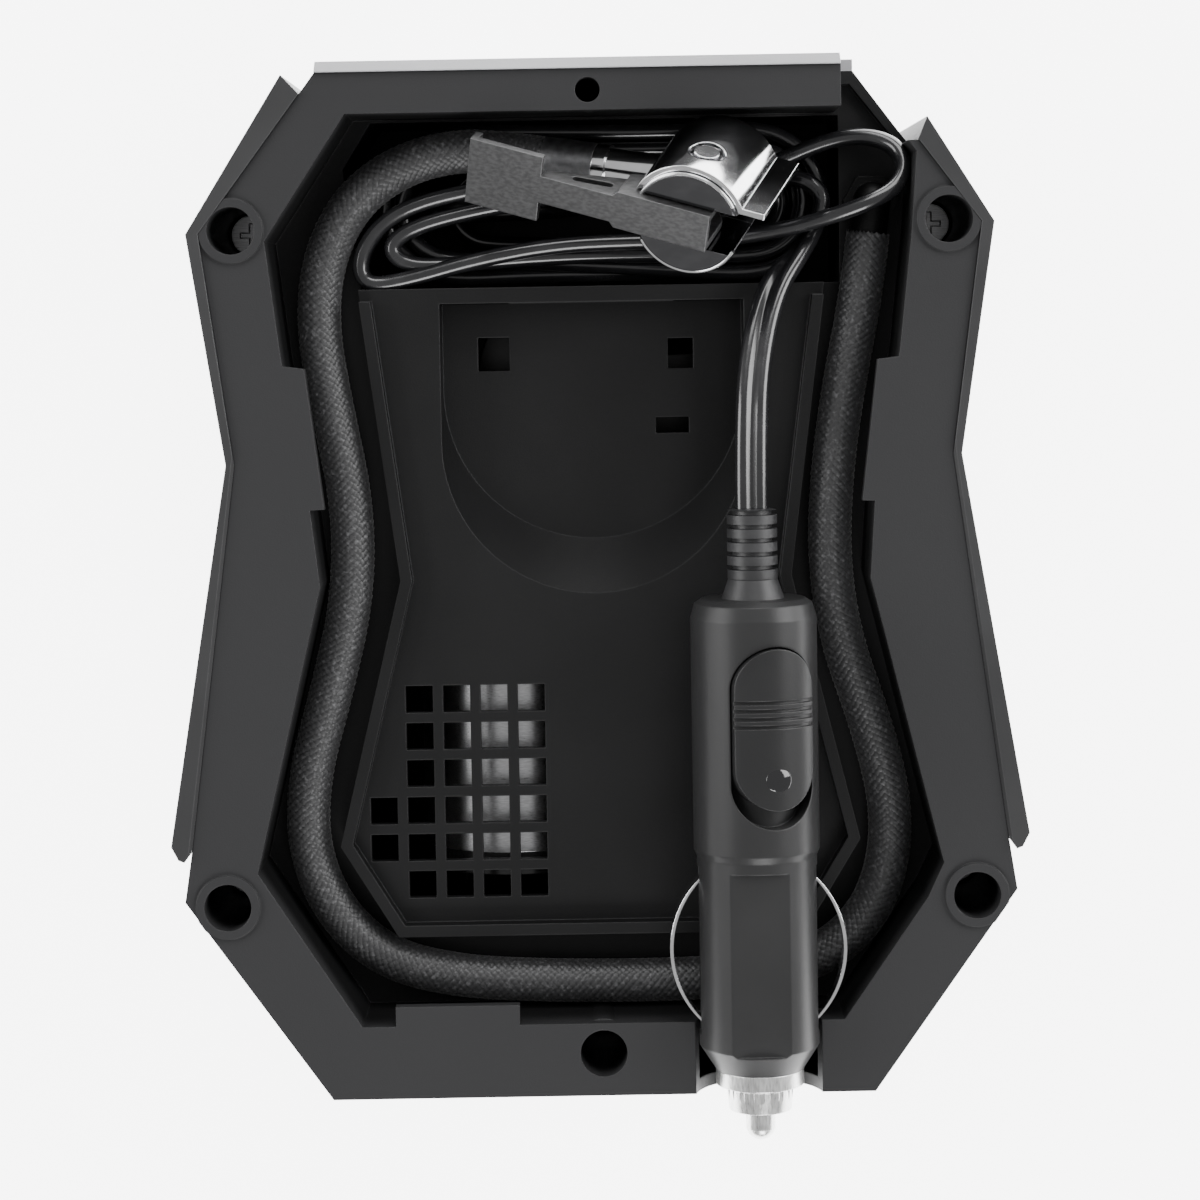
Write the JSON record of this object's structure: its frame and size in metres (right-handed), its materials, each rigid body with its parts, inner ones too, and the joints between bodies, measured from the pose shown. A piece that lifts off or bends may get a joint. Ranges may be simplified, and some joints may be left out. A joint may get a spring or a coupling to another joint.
{
  "type": "portable tire inflator",
  "caption": "12 V tire inflator on its face: storage back with braided hose, thumb-lock chuck, folded twin lead and vehicle plug, pump and gauge inside",
  "frame": {"origin": "on the surface that the front face rests on, under the middle of the housing", "axes": "+Z out of the storage side, +Y towards the top of the inflator, +X to the right when looking at the storage side with the top up"},
  "size_m": [0.1462, 0.1844, 0.0796],
  "materials": {
    "rear_cover_plastic": "moulded ABS, fine texture",
    "black_housing": "moulded ABS, fine texture",
    "side_panel_plastic": "moulded ABS, satin",
    "top_panel_plastic": "grey satin plastic",
    "zinc_steel": "zinc-plated steel",
    "dial_white": "printed dial card",
    "clear_lens": "clear acrylic",
    "bright_chrome": "bright nickel-chrome plating",
    "needle_red": "painted",
    "brass": "machined",
    "switch_black": "gloss nylon",
    "switch_red": "gloss",
    "motor_steel": "zinc-plated can",
    "magnet_iron": "ferrite and laminations",
    "gear_nylon": "natural nylon",
    "frame_steel": "pressed steel",
    "cast_aluminium": "die cast",
    "seal_rubber": "black rubber",
    "braided_hose": "black braid over rubber",
    "dark_chrome": "dark polished zinc",
    "lever_zinc": "satin grey pressed steel",
    "crimp_black": "black crimped sleeve",
    "plug_plastic": "satin phenolic",
    "slider_plastic": "satin nylon",
    "collar_nickel": "satin nickel",
    "fuse_glass": "glass fuse",
    "relief_rubber": "moulded PVC",
    "lead_pvc": "glossy black PVC twin lead"
  },
  "bodies": {
    "housing": {"rear_cover": "rear_cover_plastic", "front_housing": "black_housing", "left_side_panel": "side_panel_plastic", "right_side_panel": "side_panel_plastic", "top_panel": "top_panel_plastic", "cover_screws": "zinc_steel", "gauge_case": "black_housing", "gauge_dial": "dial_white", "gauge_lens": "clear_lens", "gauge_bezel": "bright_chrome", "gauge_movement": "brass", "bourdon_tube": "brass", "rocker_switch_body": "switch_black", "motor_can": "motor_steel", "motor_magnets": "magnet_iron", "motor_end_cap": "switch_black", "motor_bushes": "brass", "gear_axle": "zinc_steel", "gear_frame": "frame_steel", "frame_screws": "zinc_steel", "cylinder": "cast_aluminium", "cylinder_head": "cast_aluminium", "head_screws": "zinc_steel", "outlet_valve": "seal_rubber", "valve_spring": "zinc_steel", "outlet_tube": "seal_rubber", "gauge_tube": "seal_rubber", "hose_elbow": "brass", "hose": "braided_hose", "chuck_body": "dark_chrome", "chuck_saddle": "bright_chrome", "chuck_pin": "bright_chrome", "valve_seal": "seal_rubber", "valve_depressor": "brass", "hose_ferrule": "bright_chrome", "hose_crimp": "crimp_black", "plug_body": "plug_plastic", "plug_nut": "collar_nickel", "plug_springs": "bright_chrome", "plug_fuse": "fuse_glass", "tip_spring": "zinc_steel", "plug_strain_relief": "relief_rubber", "power_cord": "lead_pvc", "cord_hank": "lead_pvc", "cord_grommet": "relief_rubber"},
    "needle": {"gauge_needle": "needle_red"},
    "rocker": {"rocker_button": "switch_red"},
    "rotor": {"motor_rotor": "magnet_iron", "motor_shaft": "zinc_steel", "motor_pinion": "brass"},
    "crank": {"drive_gear": "gear_nylon", "crank_pin": "zinc_steel"},
    "piston_set": {"piston": "cast_aluminium", "piston_ring": "gear_nylon", "wrist_pin": "zinc_steel"},
    "rod": {"connecting_rod": "cast_aluminium"},
    "lever": {"chuck_lever": "lever_zinc"},
    "slider": {"plug_slider": "slider_plastic"},
    "tip": {"plug_tip": "collar_nickel"}
  },
  "joints": [
    {"name": "crank_spin", "type": "hinge", "parent": "housing", "child": "crank", "pos_m": [0.002, -0.005, 0.022], "axis": [0, 1, 0], "continuous": true},
    {"name": "rotor_spin", "type": "hinge", "parent": "housing", "child": "rotor", "pos_m": [-0.01532, -0.005, 0.032], "axis": [0, 1, 0], "continuous": true},
    {"name": "piston_slide", "type": "slide", "parent": "housing", "child": "piston_set", "axis": [1, 0, 0], "range_m": [-0.014, 0]},
    {"name": "rod_swing", "type": "hinge", "parent": "piston_set", "child": "rod", "pos_m": [0.041, 0.00125, 0.022], "axis": [0, 1, 0], "range_deg": [-12.6, 12.6]},
    {"name": "needle_turn", "type": "hinge", "parent": "housing", "child": "needle", "pos_m": [0, 0.032, 0.005], "axis": [0, 0, 1], "range_deg": [0, 270], "stiffness_Nm_per_rad": 0.0002},
    {"name": "rocker_tilt", "type": "hinge", "parent": "housing", "child": "rocker", "pos_m": [0, -0.044, 0.005], "axis": [0, 1, 0], "range_deg": [-6, 6]},
    {"name": "lever_lift", "type": "hinge", "parent": "housing", "child": "lever", "pos_m": [0.01855, 0.06325, 0.06735], "axis": [0.1193, 0.844, 0.5229], "range_deg": [0, 80]},
    {"name": "slider_travel", "type": "slide", "parent": "housing", "child": "slider", "axis": [0, -1, 0], "range_m": [0, 0.003]},
    {"name": "tip_press", "type": "slide", "parent": "housing", "child": "tip", "axis": [0, 1, 0], "range_m": [0, 0.003], "stiffness_N_per_m": 400, "springref_m": -0.001, "deforming": ["tip_spring"]}
  ],
  "couplings": [
    {"joint": "rotor_spin", "follows": "crank_spin", "ratio": -4}
  ]
}
